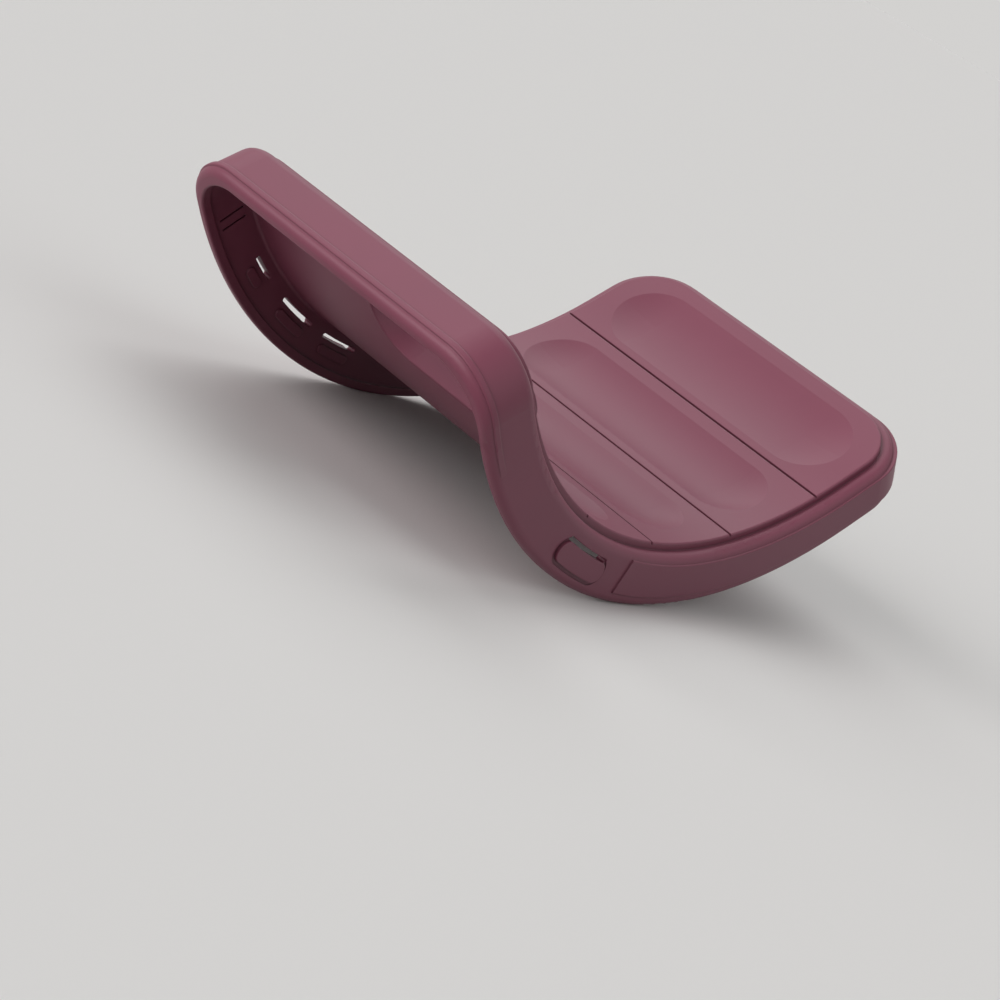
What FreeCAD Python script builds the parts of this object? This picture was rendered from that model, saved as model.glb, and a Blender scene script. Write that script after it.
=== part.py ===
# Shockproof phone case in soft moulded plastic, flexed backwards into a curve.
# It is one moulding: an outer block with bumper bands, less the core of its pocket.
# The axis of the curve is the X axis. The lower end lies flat towards +Y, and the
# camera end has swung up on the -Y side. Units: millimetres and degrees.
import FreeCAD, Part
import math
import os
import Sketcher
from FreeCAD import Placement, Rotation, Vector

doc = FreeCAD.newDocument("phone_case")
sheet = doc.addObject("Spreadsheet::Sheet", "sizes")

drivingSizes = [
    # pocket, and the shell round it
    ("pocket_width", 71.8, "inside, from side wall to side wall"),
    ("pocket_depth", 7.9, "pocket floor to the underside of the lip"),
    ("side_wall", 2.0, "thickness of the walls"),
    ("back_thickness", 2.4, "pocket floor to the back face"),
    ("corner_radius", 13.0, "outer corners of the lower end in plan"),
    ("camera_corner_radius", 10.5, "outer corners of the camera end in plan"),
    ("camera_core_radius", 10.2, "corners of the pocket at the camera end in plan"),
    ("floor_round", 0.6, "inside corner between wall and floor"),
    ("cut_past", 1.0, "how far a cut runs on past a wall"),
    # lip round the screen side
    ("lip_thickness", 1.8, "depth of the lip"),
    ("lip_reach", 0.4, "overhang of the lip into the mouth"),
    ("lip_round", 1.5, "outer edge of the lip"),
    ("lip_inner_round", 0.4, "inner edge of the lip"),
    # edge of the back face: a step down to a ledge, which rounds over into the wall
    ("back_margin", 2.7, "outer face to the edge of the back face"),
    ("back_round", 0.4, "edge of the back face"),
    ("ledge_drop", 1.5, "ledge below the back face"),
    ("ledge_round", 1.9, "outer edge of the ledge"),
    # curve of the flexed case, measured on the pocket floor
    ("bend_radius", 83.9, "radius of the curve"),
    ("curve_length", 135.0, "start of the curve to the outside of the camera end"),
    ("flat_length", 19.6, "outside of the lower end to the start of the curve"),
    # lines and finger hollows across the back
    ("line_first", 8.0, "start of the curve to the first line"),
    ("line_pitch", 25.1, "from one line to the next"),
    ("line_count", 4, "lines across the back"),
    ("line_width", 0.55, "width of a line"),
    ("line_depth", 0.5, "depth of a line"),
    ("hollow_length", 61.0, "length of a finger hollow across the back"),
    ("hollow_depth", 1.3, "depth of a finger hollow"),
    ("hollow_flat_radius", 32.0, "curve of the hollow on the flat end"),
    ("hollow_bent_radius", 24.0, "curve of the hollows on the bend"),
    ("hollow_lead", 12.0, "hollow centre to the next line"),
    # bumper band round the lower end
    ("bumper_proud", 0.25, "bumper above the wall"),
    ("bumper_top", 0.5, "bumper's back edge below the pocket floor"),
    ("bumper_foot", 7.5, "bumper's lip edge below the pocket floor"),
    ("bumper_round", 0.2, "edges of the bumper band"),
    ("bumper_corner_radius", 12.0, "corners of the bumper band in plan"),
    ("bumper_turn", 45.0, "bumper along the curve"),
    # rib round the camera end, which dies away along the side walls
    ("rib_proud", 0.3, "rib above the wall"),
    ("rib_top", 7.2, "rib's back edge below the pocket floor"),
    ("rib_foot", 8.4, "rib's lip edge below the pocket floor"),
    ("rib_round", 0.25, "edges of the rib"),
    ("rib_length", 20.5, "rib along the curve"),
    ("rib_fade", 7.0, "length in which the rib dies away"),
    # pair of notches inside the far wall, near the camera end
    ("notch_turn", 80.9, "middle of the pair along the curve"),
    ("notch_gap", 2.2, "from one notch to the other"),
    ("notch_width", 0.4, "width of a notch"),
    ("notch_depth", 0.35, "depth of a notch"),
    ("notch_top", 1.8, "notch's upper end below the pocket floor"),
    ("notch_foot", 6.8, "notch's lower end below the pocket floor"),
    # button covers
    ("cover_height", 4.2, "width of a button cover"),
    ("cover_drop", 5.0, "middle of a cover below the pocket floor"),
    ("cover_proud", 0.4, "cover above the wall"),
    ("moat_width", 0.7, "moat round a cover"),
    ("moat_depth", 0.25, "depth of the moat"),
    ("slit_width", 0.9, "slit along a cover's back edge"),
    ("slit_inset", 1.0, "end of the slit inside the end of the cover"),
    ("press_inset", 1.8, "end of the press pad inside the end of the cover"),
    ("press_height", 1.8, "width of the press pad behind a cover"),
    ("press_proud", 0.3, "press pad above the inside of the wall"),
    # camera opening
    ("camera_offset", 13.8, "middle of the opening from the centre line"),
    ("camera_inset", 16.5, "middle of the opening before the outside of the camera end"),
    ("camera_length", 35.5, "length of the opening"),
    ("camera_height", 18.0, "height of the opening"),
    ("collar_width", 2.0, "collar round the opening"),
    ("collar_height", 1.4, "collar above the back face"),
    ("rim_width", 0.9, "rim round the opening on the pocket's side"),
    ("rim_proud", 0.15, "rim into the pocket at the middle of the opening"),
    # openings in the lower end wall
    ("port_width", 13.0, "charging port opening"),
    ("port_height", 6.0, "height of the port opening"),
    ("speaker_width", 11.0, "speaker opening on each side"),
    ("speaker_height", 2.4, "height of a speaker opening"),
    ("speaker_offset", 18.5, "middle of a speaker opening from the centre"),
]

# name, where its middle is along the curve, and its length
nearCovers = [("lock", 55.0, 16.8)]
farCovers = [("action", 71.0, 8.7), ("louder", 60.6, 13.3), ("softer", 50.2, 12.9)]

for side in (nearCovers, farCovers):
    for coverName, coverTurn, coverLength in side:
        drivingSizes.append((coverName + "_turn", coverTurn, "cover's middle along the curve"))
        drivingSizes.append((coverName + "_length", coverLength, "cover's length"))

for row, (alias, value, note) in enumerate(drivingSizes, 1):
    sheet.set(f"A{row}", alias)
    sheet.set(f"B{row}", str(value))
    sheet.set(f"C{row}", note)
    sheet.setAlias(f"B{row}", alias)
doc.recompute()


def newBody(name):
    """A body of the document, and its origin planes and axes by their roles."""
    made = doc.addObject("PartDesign::Body", name)
    made.Label = name
    origins[name] = {feature.Role: feature for feature in made.Origin.OriginFeatures}
    return made


origins = {}
body = newBody("case_shell")

shellAxis = (origins["case_shell"]["X_Axis"], [""])

# Expressions that several features share
pocketHalf = "sizes.pocket_width / 2"
halfWidth = f"({pocketHalf} + sizes.side_wall)"
floorLevel = "(-sizes.bend_radius)"
backLevel = f"({floorLevel} + sizes.back_thickness)"
ledgeLevel = f"({backLevel} - sizes.ledge_drop)"
lipTop = f"({floorLevel} - sizes.pocket_depth)"
lipFoot = f"({lipTop} - sizes.lip_thickness)"
mouthInset = "(sizes.side_wall + sizes.lip_reach)"


def turnOf(distance):
    """The turn about the bend axis that matches a distance along the pocket floor."""
    return f"(({distance}) / sizes.bend_radius * 180 / pi)"


def newSketch(name, role, turn="0", level="0", forward="0", owner=body):
    """A sketch on an origin plane, turned about the bend axis, at a level and a place along Y."""
    sketch = owner.newObject("Sketcher::SketchObject", name)
    sketch.AttachmentSupport = [(origins[owner.Name][role], "")]
    sketch.MapMode = "FlatFace"
    bendAxis = Vector(0, 0, 1) if role == "YZ_Plane" else Vector(1, 0, 0)
    sketch.AttachmentOffset = Placement(Vector(), Rotation(bendAxis, 1.0))
    sketch.setExpression("AttachmentOffset.Rotation.Angle", f"-({turn})")
    along = f"({level}) * sin({turn}) + ({forward})"
    upward = f"({level}) * cos({turn})"
    places = {"YZ_Plane": {"z": level},
              "XY_Plane": {"y": along, "z": upward},
              "XZ_Plane": {"y": upward, "z": f"-({along})"}}
    for axis, place in places[role].items():
        sketch.setExpression(f"AttachmentOffset.Base.{axis}", place)
    return sketch


def bind(sketch, kind, references, expression):
    """A dimension in a sketch, tied to an expression."""
    value = float(sketch.evalExpression(expression))
    index = sketch.addConstraint(Sketcher.Constraint(kind, *references, value))
    sketch.setExpression(f"Constraints[{index}]", expression)


def pin(sketch, geometry, point, x, y):
    """Places a point of a sketch by two expressions."""
    bind(sketch, "DistanceX", (-1, 1, geometry, point), x)
    bind(sketch, "DistanceY", (-1, 1, geometry, point), y)


def join(sketch, first, firstPoint, second, secondPoint):
    """Ties two points of a sketch together."""
    sketch.addConstraint(Sketcher.Constraint("Coincident", first, firstPoint, second, secondPoint))


def addArc(sketch, centre, radius, first, last):
    """An arc of a sketch, counterclockwise between two points or angles."""
    angles = [spot if isinstance(spot, float) else math.atan2(spot.y - centre.y, spot.x - centre.x)
              for spot in (first, last)]
    return sketch.addGeometry(Part.ArcOfCircle(Part.Circle(centre, Vector(0, 0, 1), radius), *angles))


def drawOutline(sketch, corners):
    """A closed outline of straight edges; a corner is its x and y."""
    spots = [Vector(sketch.evalExpression(x), sketch.evalExpression(y)) for x, y in corners]
    edges = [sketch.addGeometry(Part.LineSegment(spot, spots[(index + 1) % len(spots)]))
             for index, spot in enumerate(spots)]
    for index, (x, y) in enumerate(corners):
        pin(sketch, edges[index], 1, x, y)
        join(sketch, edges[index - 1], 2, edges[index], 1)


def drawPill(sketch, x, y, length, height):
    """A level slot with round ends."""
    middle = Vector(sketch.evalExpression(x), sketch.evalExpression(y))
    radius = sketch.evalExpression(f"({height}) / 2")
    reach = f"(({length}) - ({height})) / 2"
    half = Vector(sketch.evalExpression(reach), 0)
    rise = Vector(0, radius)
    right = addArc(sketch, middle + half, radius, -math.pi / 2, math.pi / 2)
    top = sketch.addGeometry(Part.LineSegment(middle + half + rise, middle - half + rise))
    left = addArc(sketch, middle - half, radius, math.pi / 2, math.pi * 1.5)
    foot = sketch.addGeometry(Part.LineSegment(middle - half - rise, middle + half - rise))
    pin(sketch, right, 3, f"({x}) + {reach}", y)
    pin(sketch, left, 3, f"({x}) - {reach}", y)
    for arc, before, after in ((right, foot, top), (left, top, foot)):
        bind(sketch, "Radius", (arc,), f"({height}) / 2")
        for point in (1, 2):
            sketch.addConstraint(Sketcher.Constraint("Vertical", arc, point, arc, 3))
        join(sketch, before, 2, arc, 1)
        join(sketch, arc, 2, after, 1)


def drawCurvedPill(sketch, radius, length, height):
    """A slot with round ends that follows the curve, centred below the bend axis."""
    capRadius = f"({height}) / 2"
    halfTurn = f"((({length}) - ({height})) / 2 / ({radius}) * 180 / pi)"
    middle = sketch.evalExpression(radius)
    cap = sketch.evalExpression(capRadius)
    swing = math.radians(sketch.evalExpression(halfTurn))
    start, finish = -math.pi / 2 - swing, -math.pi / 2 + swing
    startSpot = Vector(middle * math.cos(start), middle * math.sin(start))
    finishSpot = Vector(middle * math.cos(finish), middle * math.sin(finish))
    outer = addArc(sketch, Vector(), middle + cap, start, finish)
    finishCap = addArc(sketch, finishSpot, cap, finish, finish + math.pi)
    inner = addArc(sketch, Vector(), middle - cap, start, finish)
    startCap = addArc(sketch, startSpot, cap, start - math.pi, start)
    for arc, size in ((outer, f"(({radius}) + {capRadius})"), (inner, f"(({radius}) - {capRadius})")):
        join(sketch, arc, 3, -1, 1)
        bind(sketch, "Radius", (arc,), size)
        bind(sketch, "DistanceX", (-1, 1, arc, 1), f"-{size} * sin({halfTurn})")
        bind(sketch, "DistanceX", (-1, 1, arc, 2), f"{size} * sin({halfTurn})")
    bind(sketch, "DistanceX", (-1, 1, finishCap, 3), f"({radius}) * sin({halfTurn})")
    bind(sketch, "DistanceX", (-1, 1, startCap, 3), f"-({radius}) * sin({halfTurn})")
    for cap, turnPoint in ((finishCap, 2), (startCap, 1)):
        join(sketch, outer, turnPoint, cap, 3 - turnPoint)
        join(sketch, cap, turnPoint, inner, turnPoint)


def drawHollow(sketch, radius, length, depth):
    """Half the outline of a round-ended bar, on the sketch's level axis, that scoops a finger hollow."""
    rim = f"sqrt(({radius}) ^ 2 - (({radius}) - ({depth})) ^ 2)"
    reach = f"(({length}) / 2 - {rim})"
    half, size = sketch.evalExpression(reach), sketch.evalExpression(radius)
    axis = sketch.addGeometry(Part.LineSegment(Vector(half + size, 0), Vector(-half - size, 0)))
    left = addArc(sketch, Vector(-half, 0), size, -math.pi, -math.pi / 2)
    foot = sketch.addGeometry(Part.LineSegment(Vector(-half, -size), Vector(half, -size)))
    right = addArc(sketch, Vector(half, 0), size, -math.pi / 2, 0.0)
    for arc, place, level, upright in ((left, f"-{reach}", 1, 2), (right, reach, 2, 1)):
        pin(sketch, arc, 3, place, "0")
        bind(sketch, "Radius", (arc,), radius)
        sketch.addConstraint(Sketcher.Constraint("Horizontal", arc, level, arc, 3))
        sketch.addConstraint(Sketcher.Constraint("Vertical", arc, upright, arc, 3))
    for before, after in ((axis, left), (left, foot), (foot, right), (right, axis)):
        join(sketch, before, 2, after, 1)


def feature(kind, name, owner=body, **settings):
    """A feature of a body; a size given as text is an expression."""
    made = owner.newObject(f"PartDesign::{kind}", name)
    for key, value in settings.items():
        if isinstance(value, str):
            made.setExpression(key, value)
        else:
            setattr(made, key, value)
    owner.Tip = made
    return made


def edgesAt(owner, wanted):
    """The body's last feature, and the names of its lengthwise and upright edges that pass a test."""
    doc.recompute()
    names = []
    for number, edge in enumerate(owner.Shape.Edges, 1):
        onePlane = edge.BoundBox.XLength < 0.001
        if onePlane and len(edge.Vertexes) == 2 and all(wanted(vertex.Point) for vertex in edge.Vertexes):
            names.append(f"Edge{number}")
    return (owner.Tip, names)


def near(value, expression):
    """Whether a measured value is that of an expression."""
    return abs(value - sheetSketch.evalExpression(expression)) < 0.001


def turnAt(point):
    """The turn of a point about the bend axis."""
    return math.degrees(math.atan2(-point.y, -point.z))


def corners(inset):
    """The two corner sizes of an outline that is set in evenly from the outer wall."""
    return f"sizes.corner_radius - ({inset})", f"sizes.camera_corner_radius - ({inset})"


def slab(owner, name, inset, low, high, lowerCorner=None, cameraCorner=None, first="0", last=None):
    """A slab between two levels along the curve and the flat end, with the case's outline set in."""
    side = f"({halfWidth} - ({inset}))"
    flatEnd = f"(sizes.flat_length - ({inset}))"
    endTurn = last or turnOf(f"sizes.curve_length - ({inset})")
    section = newSketch(f"{name}_section", "XZ_Plane", first, owner=owner)
    drawOutline(section, [(side, low), (side, high), (f"-{side}", high), (f"-{side}", low)])
    feature("Revolution", f"{name}_curve", owner, Profile=section, Reversed=True,
            ReferenceAxis=(origins[owner.Name]["X_Axis"], [""]), Angle=f"{endTurn} - ({first})")
    if lowerCorner:
        feature("Pad", f"{name}_flat", owner, Profile=section, Length=flatEnd, Reversed=True)
        lowerEdges = edgesAt(owner, lambda point: near(point.y, flatEnd))
        feature("Fillet", f"{name}_lower_corners", owner, Base=lowerEdges, Radius=lowerCorner)
    if cameraCorner:
        cameraEdges = edgesAt(owner, lambda point: near(turnAt(point), endTurn))
        feature("Fillet", f"{name}_camera_corners", owner, Base=cameraEdges, Radius=cameraCorner)


def roundEdge(owner, name, inset, level, radius):
    """Rounds the edge of a slab's outline at a level; the rounding runs on round the whole outline."""
    side = f"({halfWidth} - ({inset}))"

    def onSide(point):
        return near(point.x, side) and near(math.hypot(point.y, point.z), f"-{level}")

    base, names = edgesAt(owner, onSide)
    feature("Fillet", name, owner, Base=(base, names[:1]), Radius=radius)


def combine(name, kind, tools):
    """Joins bodies to the shell or cuts them out of it."""
    made = body.newObject("PartDesign::Boolean", name)
    made.Type = kind
    made.setObjects(tools)
    body.Tip = made


def buttonCover(name, side):
    """A raised button cover in a moat, slit along its back edge; side is 1 on +X and -1 on -X."""
    turn = f"sizes.{name}_turn"
    length = f"sizes.{name}_length"
    radius = "(sizes.bend_radius + sizes.cover_drop)"
    outside = f"(({halfWidth} + sizes.bumper_proud) * {side})"
    moatFloor = f"(({halfWidth} - sizes.moat_depth) * {side})"
    inward = side < 0
    moat = newSketch(f"{name}_moat", "YZ_Plane", turn, outside)
    drawCurvedPill(moat, radius, f"{length} + 2 * sizes.moat_width",
                   "sizes.cover_height + 2 * sizes.moat_width")
    feature("Pocket", f"{name}_moat_cut", Profile=moat, Reversed=inward,
            Length="sizes.bumper_proud + sizes.moat_depth")
    cover = newSketch(f"{name}_cover", "YZ_Plane", turn, moatFloor)
    drawCurvedPill(cover, radius, length, "sizes.cover_height")
    feature("Pad", f"{name}_cover_pad", Profile=cover, Reversed=inward,
            Length="sizes.moat_depth + sizes.cover_proud")
    slit = newSketch(f"{name}_slit", "YZ_Plane", turn, outside)
    slitRadius = f"({radius} - sizes.cover_height / 2 - sizes.moat_width / 2)"
    drawCurvedPill(slit, slitRadius, f"{length} - 2 * sizes.slit_inset", "sizes.slit_width")
    feature("Pocket", f"{name}_slit_cut", Profile=slit, Reversed=inward,
            Length="sizes.bumper_proud + sizes.side_wall + sizes.cut_past")
    press = newSketch(f"{name}_press", "YZ_Plane", turn, f"({pocketHalf} + sizes.side_wall / 2) * {side}")
    drawCurvedPill(press, radius, f"{length} - 2 * sizes.press_inset", "sizes.press_height")
    feature("Pad", f"{name}_press_pad", Profile=press, Reversed=not inward,
            Length="sizes.side_wall / 2 + sizes.press_proud")


# A sketch that works out expressions before any edge is picked by its place
sheetSketch = newSketch("measure", "XY_Plane")

# Outer block of the shell, from the lip to the ledge round the back face
slab(body, "shell", "0", lipFoot, ledgeLevel, *corners("0"))
roundEdge(body, "lip_rounding", "0", lipFoot, "sizes.lip_round")
roundEdge(body, "ledge_rounding", "0", ledgeLevel, "sizes.ledge_round")

# Bumper band round the lower end, and a rib round the camera end
bandInset = "-sizes.bumper_proud"
bandTop = f"({floorLevel} - sizes.bumper_top)"
bandFoot = f"({floorLevel} - sizes.bumper_foot)"
bumper = newBody("bumper")
slab(bumper, "bumper", bandInset, bandFoot, bandTop, "sizes.bumper_corner_radius", last="sizes.bumper_turn")
roundEdge(bumper, "bumper_foot", bandInset, bandFoot, "sizes.bumper_round")
roundEdge(bumper, "bumper_top", bandInset, bandTop, "sizes.bumper_round")
ribInset = "-sizes.rib_proud"
ribTop = f"({floorLevel} - sizes.rib_top)"
ribFoot = f"({floorLevel} - sizes.rib_foot)"
ribTurn = turnOf("sizes.curve_length - sizes.rib_length")
rib = newBody("rib")
slab(rib, "rib", ribInset, ribFoot, ribTop, None, corners(ribInset)[1], first=ribTurn)
roundEdge(rib, "rib_foot", ribInset, ribFoot, "sizes.rib_round")
roundEdge(rib, "rib_top", ribInset, ribTop, "sizes.rib_round")
fade = newSketch("rib_fade", "XY_Plane", ribTurn, ribTop, owner=rib)
slope = "(0.95 * sizes.rib_proud / sizes.rib_fade)"
fadeStart = f"({halfWidth} + 0.05 * sizes.rib_proud - {slope} * sizes.cut_past)"
fadeEnd = f"({halfWidth} + sizes.rib_proud + {slope} * sizes.cut_past)"
fadeLength = "(-sizes.rib_fade - sizes.cut_past)"
for sign in ("", "-"):
    drawOutline(fade, [(sign + fadeStart, "sizes.cut_past"), (sign + fadeEnd, "sizes.cut_past"),
                       (sign + fadeEnd, fadeLength)])
feature("Pocket", "rib_fade_cut", rib, Profile=fade, Midplane=True,
        Length="2 * (sizes.rib_foot + sizes.cut_past)")
combine("bands", "Fuse", [bumper, rib])

# Back face, which rises inside the ledge
back = newBody("back")
slab(back, "back", "sizes.back_margin", floorLevel, backLevel, *corners("sizes.back_margin"))
roundEdge(back, "back_rounding", "sizes.back_margin", backLevel, "sizes.back_round")
combine("back_face", "Fuse", [back])

# Core of the pocket and of its mouth inside the lip
pocket = newBody("pocket")
slab(pocket, "pocket", "sizes.side_wall", lipTop, floorLevel, corners("sizes.side_wall")[0],
     "sizes.camera_core_radius")
roundEdge(pocket, "pocket_rounding", "sizes.side_wall", floorLevel, "sizes.floor_round")
mouth = newBody("mouth")
slab(mouth, "mouth", mouthInset, f"({lipFoot} - sizes.cut_past)", f"({lipTop} + sizes.cut_past)",
     corners(mouthInset)[0], "sizes.camera_core_radius - sizes.lip_reach")
combine("pocket_cut", "Cut", [pocket, mouth])
roundEdge(body, "lip_inner_rounding", mouthInset, lipFoot, "sizes.lip_inner_round")

# Finger hollows across the back, one on the flat end and the rest on the curve
flatHollow = newSketch("flat_hollow", "XZ_Plane", "0",
                       f"({backLevel} - sizes.hollow_depth + sizes.hollow_flat_radius)",
                       "sizes.hollow_lead - sizes.line_first")
drawHollow(flatHollow, "sizes.hollow_flat_radius", "sizes.hollow_length", "sizes.hollow_depth")
feature("Groove", "flat_hollow_cut", Profile=flatHollow, Angle=360.0,
        ReferenceAxis=(flatHollow, ["H_Axis"]))
firstHollow = turnOf("sizes.line_first + sizes.line_pitch - sizes.hollow_lead")
bentHollow = newSketch("bent_hollow", "XZ_Plane", firstHollow,
                       f"({backLevel} - sizes.hollow_depth + sizes.hollow_bent_radius)")
drawHollow(bentHollow, "sizes.hollow_bent_radius", "sizes.hollow_length", "sizes.hollow_depth")
hollowCut = feature("Groove", "bent_hollow_cut", Profile=bentHollow, Angle=360.0,
                    ReferenceAxis=(bentHollow, ["H_Axis"]))
feature("PolarPattern", "bent_hollows", Originals=[hollowCut], Axis=shellAxis, Reversed=True,
        Angle=turnOf("sizes.line_pitch * (sizes.line_count - 2)"), Occurrences="sizes.line_count - 1")

# Thin lines across the back, between the hollows
line = newSketch("line", "YZ_Plane", turnOf("sizes.line_first"))
lineFoot = f"({backLevel} - sizes.line_depth)"
lineTop = f"({backLevel} + sizes.line_depth)"
drawOutline(line, [("-sizes.line_width / 2", lineFoot), ("sizes.line_width / 2", lineFoot),
                   ("sizes.line_width / 2", lineTop), ("-sizes.line_width / 2", lineTop)])
lineCut = feature("Pocket", "line_cut", Profile=line, Length=f"2 * {halfWidth}", Midplane=True)
feature("PolarPattern", "lines", Originals=[lineCut], Axis=shellAxis, Reversed=True,
        Angle=turnOf("sizes.line_pitch * (sizes.line_count - 1)"), Occurrences="sizes.line_count")

# Button covers on the side walls
for coverName, _, _ in nearCovers:
    buttonCover(coverName, 1)
for coverName, _, _ in farCovers:
    buttonCover(coverName, -1)

# Camera opening with its collar, on a plane that touches the curve at its middle
cameraTurn = turnOf("sizes.curve_length - sizes.camera_inset")
collar = newSketch("camera_collar", "XY_Plane", cameraTurn, f"({floorLevel} + sizes.back_thickness / 2)")
drawPill(collar, "sizes.camera_offset", "0", "sizes.camera_length + 2 * sizes.collar_width",
         "sizes.camera_height + 2 * sizes.collar_width")
feature("Pad", "camera_collar_pad", Profile=collar, Length="sizes.back_thickness / 2 + sizes.collar_height")
rim = newSketch("camera_rim", "XY_Plane", cameraTurn, f"({floorLevel} + sizes.back_thickness / 2)")
drawPill(rim, "sizes.camera_offset", "0", "sizes.camera_length + 2 * sizes.rim_width",
         "sizes.camera_height + 2 * sizes.rim_width")
feature("Pad", "camera_rim_pad", Profile=rim, Reversed=True,
        Length="sizes.back_thickness / 2 + sizes.rim_proud")
window = newSketch("camera_window", "XY_Plane", cameraTurn, floorLevel)
drawPill(window, "sizes.camera_offset", "0", "sizes.camera_length", "sizes.camera_height")
feature("Pocket", "camera_window_cut", Profile=window, Midplane=True,
        Length="2 * (sizes.back_thickness + sizes.collar_height + sizes.cut_past)")

# Pair of notches inside the far wall
notches = newSketch("notches", "YZ_Plane", "sizes.notch_turn", f"sizes.cut_past - {pocketHalf}")
for place in ("-sizes.notch_gap / 2", "sizes.notch_gap / 2"):
    before, after = (f"({place} {sign} sizes.notch_width / 2)" for sign in "-+")
    top, foot = (f"({floorLevel} - sizes.notch_{end})" for end in ("top", "foot"))
    drawOutline(notches, [(before, foot), (after, foot), (after, top), (before, top)])
feature("Pocket", "notches_cut", Profile=notches, Length="sizes.cut_past + sizes.notch_depth")

# Openings in the lower end wall
middleLevel = f"({floorLevel} - sizes.pocket_depth / 2)"
ports = newSketch("end_ports", "XZ_Plane", "0", "0", "sizes.flat_length")
drawPill(ports, "0", middleLevel, "sizes.port_width", "sizes.port_height")
for place in ("sizes.speaker_offset", "-sizes.speaker_offset"):
    drawPill(ports, place, middleLevel, "sizes.speaker_width", "sizes.speaker_height")
feature("Pocket", "end_ports_cut", Profile=ports, Midplane=True,
        Length="2 * (sizes.side_wall + sizes.bumper_proud + sizes.cut_past)")

# At rest the case rocks back until its weight hangs below the bend axis
doc.recompute()
weight = body.Shape.CenterOfGravity
restTurn = math.degrees(math.atan2(-weight.y, -weight.z))
body.Placement = Placement(Vector(), Rotation(Vector(1, 0, 0), restTurn))
extent = body.Shape.optimalBoundingBox(True, False)
body.Placement = Placement(Vector(-extent.Center.x, -extent.Center.y, -extent.ZMin),
                           Rotation(Vector(1, 0, 0), restTurn))
doc.recompute()

for item in doc.Objects:
    if "Invalid" in item.State or "Error" in item.State:
        raise RuntimeError(f"{item.Name} failed: {item.State}")
shape = body.Shape
if shape.isNull() or not shape.isValid() or len(shape.Solids) != 1:
    raise RuntimeError("the shell is not one valid solid")
os.makedirs("parts", exist_ok=True)
shape.exportStep(f"parts/{body.Label}.step")
extent = shape.optimalBoundingBox(True, False)
print(f"{body.Label}: {shape.Volume:.1f} mm3, rests turned {restTurn:.2f} degrees, "
      f"{extent.XLength:.2f} x {extent.YLength:.2f} x {extent.ZLength:.2f} mm")
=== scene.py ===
import math
import bmesh
import bpy
from mathutils import Matrix, Vector

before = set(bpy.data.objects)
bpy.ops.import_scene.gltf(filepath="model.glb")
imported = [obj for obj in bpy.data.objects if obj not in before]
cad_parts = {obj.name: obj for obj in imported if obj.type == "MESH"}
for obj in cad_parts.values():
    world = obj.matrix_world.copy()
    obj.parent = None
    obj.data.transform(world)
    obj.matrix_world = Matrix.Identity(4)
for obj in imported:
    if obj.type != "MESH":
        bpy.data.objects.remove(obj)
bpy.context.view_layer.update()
print("loaded the case:", sorted(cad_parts))

scene = bpy.context.scene
scene.view_settings.view_transform = "Standard"

# the case lies rolled on its lips about the axis of its curve, and the camera and lamps roll with it
lie = {
    "bendAxis": Vector((0.0, -0.00084, 0.0936)),  # a point on that axis
    "turn": 40.22,  # degrees from the pose of the picture
}
rollMatrix = Matrix.Rotation(math.radians(lie["turn"]), 4, "X")

# the picture's camera, placed from the axis of the curve before the roll
viewpoint = {
    "place": Vector((0.238711, -0.266462, 0.252502)),
    "azimuth": 48.789,  # degrees, from the front to the right
    "elevation": 45.968,
    "tilt": 0.136,  # degrees about the line of sight
    "lens": 87.417,  # millimetres, as the sensor is
    "sensorWidth": 36.0,
    "nearest": 0.01,
    "farthest": 100.0,
}


def addCamera():
    azimuth = math.radians(viewpoint["azimuth"])
    elevation = math.radians(viewpoint["elevation"])
    level = math.cos(elevation)
    back = Vector((math.sin(azimuth) * level, -math.cos(azimuth) * level, math.sin(elevation)))
    right = Vector((math.cos(azimuth), math.sin(azimuth), 0.0))
    right = Matrix.Rotation(math.radians(viewpoint["tilt"]), 3, back) @ right
    up = back.cross(right)
    aim = Matrix((right, up, back)).transposed().to_4x4()
    data = bpy.data.cameras.new("pictureCamera")
    data.lens = viewpoint["lens"]
    data.sensor_width = viewpoint["sensorWidth"]
    data.clip_start = viewpoint["nearest"]
    data.clip_end = viewpoint["farthest"]
    camera = bpy.data.objects.new("pictureCamera", data)
    scene.collection.objects.link(camera)
    place = Matrix.Translation(viewpoint["place"])
    camera.matrix_world = Matrix.Translation(lie["bendAxis"]) @ rollMatrix @ place @ aim
    scene.camera = camera
    print("camera at", [round(value, 4) for value in camera.matrix_world.translation])


# broad soft lamps, with the directions that they shine from before the roll
lamps = {
    "front": {"from": (-0.3, -0.6, 0.8), "spread": 60.0, "power": 2.95, "colour": (1.0, 0.99, 0.98)},
    "back": {"from": (-0.5, 0.75, 0.5), "spread": 60.0, "power": 1.1, "colour": (1.0, 1.0, 1.0)},
    "side": {"from": (0.75, 0.53, 0.40), "spread": 60.0, "power": 0.42, "colour": (1.0, 1.0, 1.0)},
}


def addLamps():
    for name, lamp in lamps.items():
        data = bpy.data.lights.new(name, "SUN")
        data.energy = lamp["power"]
        data.angle = math.radians(lamp["spread"])
        data.color = lamp["colour"]
        light = bpy.data.objects.new(name, data)
        scene.collection.objects.link(light)
        shinesFrom = rollMatrix.to_3x3() @ Vector(lamp["from"])
        light.rotation_euler = shinesFrom.to_track_quat("Z", "Y").to_euler()
    print("lamps:", ", ".join(lamps))


def newMaterial(name):
    material = bpy.data.materials.new(name)
    material.use_nodes = True
    tree = material.node_tree
    tree.nodes.clear()
    output = tree.nodes.new("ShaderNodeOutputMaterial")
    return material, tree, output


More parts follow.
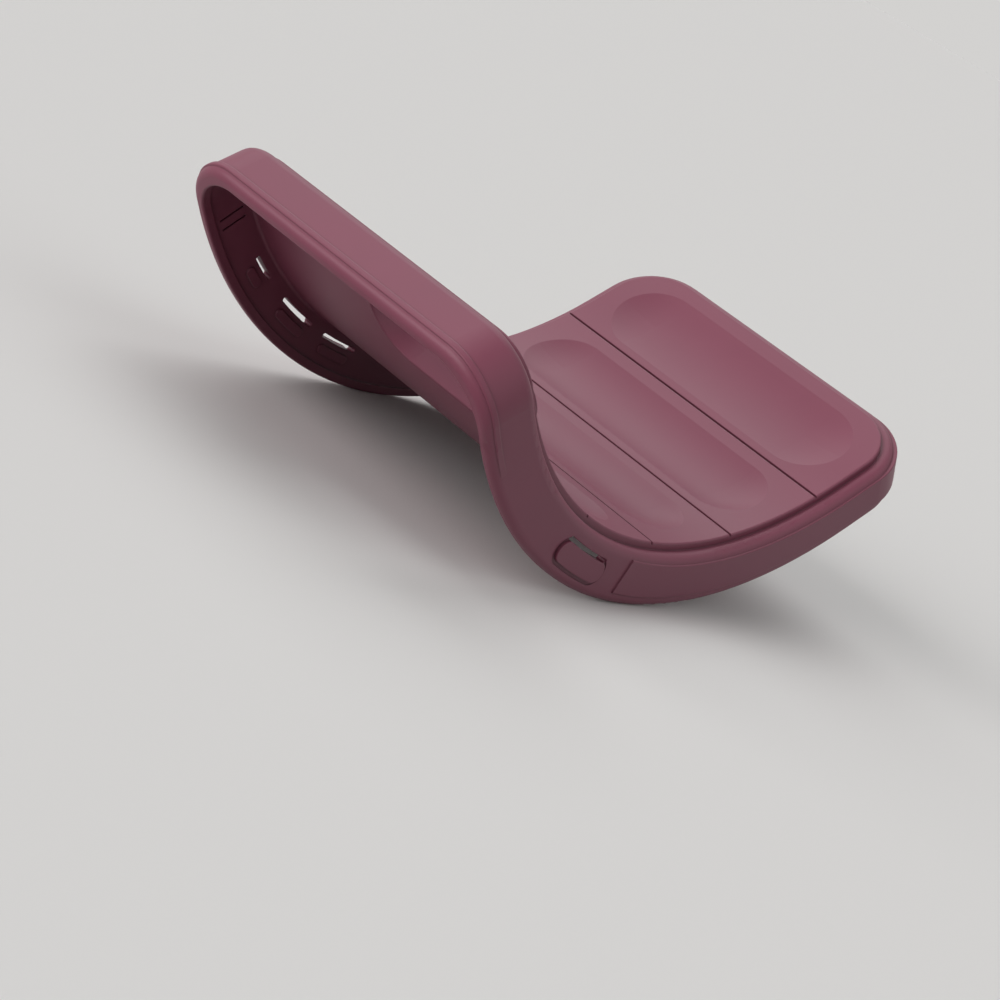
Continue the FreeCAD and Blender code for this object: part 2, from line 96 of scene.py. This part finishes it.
# one shader for rays that look at the room, straight, mirrored or through something clear,
# and another for the rays that carry its light to the case
def mixSeen(tree, light, seen, output):
    path = tree.nodes.new("ShaderNodeLightPath")
    looking = path.outputs["Is Camera Ray"]
    for kind in ("Is Glossy Ray", "Is Transmission Ray"):
        either = tree.nodes.new("ShaderNodeMath")
        either.operation = "MAXIMUM"
        tree.links.new(looking, either.inputs[0])
        tree.links.new(path.outputs[kind], either.inputs[1])
        looking = either.outputs["Value"]
    mix = tree.nodes.new("ShaderNodeMixShader")
    tree.links.new(looking, mix.inputs["Fac"])
    tree.links.new(light, mix.inputs[1])
    tree.links.new(seen, mix.inputs[2])
    tree.links.new(mix.outputs["Shader"], output.inputs["Surface"])


# a shader of one plain colour, for the floor or the sky
def plainShader(tree, kind, colour):
    shader = tree.nodes.new(kind)
    shader.inputs["Color"].default_value = colour
    return shader.outputs[0]


room = {
    "floorSize": 24.0,
    "floorColour": (0.80, 0.79, 0.78, 1.0),
    "floorBounce": (0.45, 0.443, 0.435, 1.0),  # what the floor throws back at the case
    "skyColour": (0.650, 0.641, 0.630, 1.0),  # what the camera sees behind the floor
    "skyLight": (0.20, 0.20, 0.20, 1.0),  # what the room gives the case from all round
}


def addFloor():
    mesh = bpy.data.meshes.new("floor")
    build = bmesh.new()
    bmesh.ops.create_grid(build, x_segments=1, y_segments=1, size=room["floorSize"] / 2)
    build.to_mesh(mesh)
    build.free()
    floor = bpy.data.objects.new("floor", mesh)
    scene.collection.objects.link(floor)
    material, tree, output = newMaterial("paleFloor")
    seen = plainShader(tree, "ShaderNodeBsdfDiffuse", room["floorColour"])
    light = plainShader(tree, "ShaderNodeBsdfDiffuse", room["floorBounce"])
    mixSeen(tree, light, seen, output)
    mesh.materials.append(material)
    print("floor laid")


def addSky():
    world = bpy.data.worlds.new("room")
    scene.world = world
    world.use_nodes = True
    tree = world.node_tree
    tree.nodes.clear()
    seen = plainShader(tree, "ShaderNodeBackground", room["skyColour"])
    light = plainShader(tree, "ShaderNodeBackground", room["skyLight"])
    mixSeen(tree, light, seen, tree.nodes.new("ShaderNodeOutputWorld"))
    print("room lit")


def addNoise(tree, spot, size, detail):
    noise = tree.nodes.new("ShaderNodeTexNoise")
    noise.inputs["Scale"].default_value = 1 / size
    noise.inputs["Detail"].default_value = detail
    tree.links.new(spot.outputs["Object"], noise.inputs["Vector"])
    return noise.outputs["Fac"]


# the moulding's soft plastic, with painted shade in its narrow lines and slits
shellFinish = {
    "colour": (0.215, 0.054, 0.091, 1.0),
    "deepColour": (0.185, 0.044, 0.076, 1.0),
    "roughness": (0.42, 0.50),
    "gloss": 0.38,
    "ior": 1.5,
    "cloudSize": 0.018,  # slow drift of tone and roughness in the moulding
    "cloudDetail": 3.0,
    "grainSize": 0.00016,  # fine spark-eroded grain of the mould
    "grainDetail": 2.0,
    "grainHeight": 0.000006,
    "grainStrength": 0.35,
    "edgeRound": 0.0003,  # no moulded edge is quite sharp
    "edgeSamples": 8,
    "paintedShadeColour": (0.055, 0.009, 0.018, 1.0),  # painted shade: narrow lines and slits are darkened in the colour, as they hold little light
    "paintedShadeReach": 0.0008,
    "paintedShadeSamples": 8,
}


def shellPlastic():
    finish = shellFinish
    material, tree, output = newMaterial("softPlumPlastic")
    nodes, links = tree.nodes, tree.links
    spot = nodes.new("ShaderNodeTexCoord")
    cloud = addNoise(tree, spot, finish["cloudSize"], finish["cloudDetail"])
    grain = addNoise(tree, spot, finish["grainSize"], finish["grainDetail"])

    tone = nodes.new("ShaderNodeMix")
    tone.data_type = "RGBA"
    tone.inputs["A"].default_value = finish["deepColour"]
    tone.inputs["B"].default_value = finish["colour"]
    links.new(cloud, tone.inputs["Factor"])

    # painted shade: ambient occlusion darkens the colour in narrow lines and slits
    paintedShadeAO = nodes.new("ShaderNodeAmbientOcclusion")
    paintedShadeAO.only_local = True  # the floor adds no painted shade
    paintedShadeAO.samples = finish["paintedShadeSamples"]
    paintedShadeAO.inputs["Distance"].default_value = finish["paintedShadeReach"]
    paintedShade = nodes.new("ShaderNodeMix")
    paintedShade.data_type = "RGBA"
    paintedShade.inputs["A"].default_value = finish["paintedShadeColour"]
    links.new(paintedShadeAO.outputs["AO"], paintedShade.inputs["Factor"])
    links.new(tone.outputs["Result"], paintedShade.inputs["B"])

    dull = nodes.new("ShaderNodeMapRange")
    dull.inputs["To Min"].default_value = finish["roughness"][0]
    dull.inputs["To Max"].default_value = finish["roughness"][1]
    links.new(cloud, dull.inputs["Value"])

    soft = nodes.new("ShaderNodeBevel")
    soft.samples = finish["edgeSamples"]
    soft.inputs["Radius"].default_value = finish["edgeRound"]

    bump = nodes.new("ShaderNodeBump")
    bump.inputs["Strength"].default_value = finish["grainStrength"]
    bump.inputs["Distance"].default_value = finish["grainHeight"]
    links.new(grain, bump.inputs["Height"])
    links.new(soft.outputs["Normal"], bump.inputs["Normal"])

    shader = nodes.new("ShaderNodeBsdfPrincipled")
    shader.inputs["IOR"].default_value = finish["ior"]
    shader.inputs["Specular IOR Level"].default_value = finish["gloss"]
    links.new(paintedShade.outputs["Result"], shader.inputs["Base Color"])
    links.new(dull.outputs["Result"], shader.inputs["Roughness"])
    links.new(bump.outputs["Normal"], shader.inputs["Normal"])
    links.new(shader.outputs["BSDF"], output.inputs["Surface"])
    return material


addCamera()
addLamps()
addFloor()
addSky()

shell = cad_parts["case_shell"]
shell.data.materials.clear()
shell.data.materials.append(shellPlastic())
print("case dressed")
